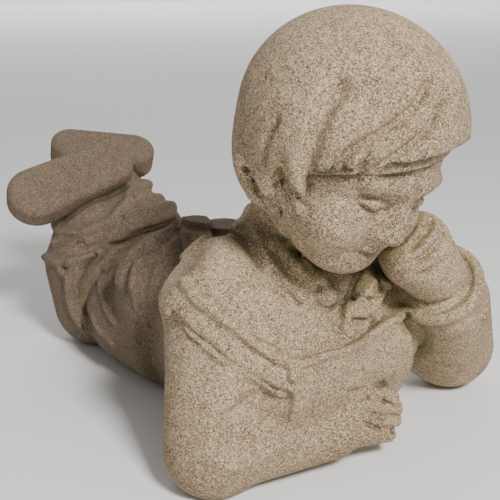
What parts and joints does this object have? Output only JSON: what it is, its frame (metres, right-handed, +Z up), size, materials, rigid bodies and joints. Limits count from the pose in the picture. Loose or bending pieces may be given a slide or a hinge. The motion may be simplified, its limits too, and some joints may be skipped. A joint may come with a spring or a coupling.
{
  "type": "garden statue",
  "caption": "Cast-stone boy lying on his front, cheek on one fist, forearm folded before him, shins raised and feet crossed.",
  "frame": {"origin": "centre of the bounding box in plan, at the ground under the figure", "axes": "+Z up; +Y along the body from head to feet; +X to the boy's left"},
  "size_m": [0.2476, 0.373, 0.2462],
  "materials": {
    "stone": "cast sandstone, matt, granular"
  },
  "bodies": {
    "root": {"boy": "stone"}
  },
  "joints": []
}
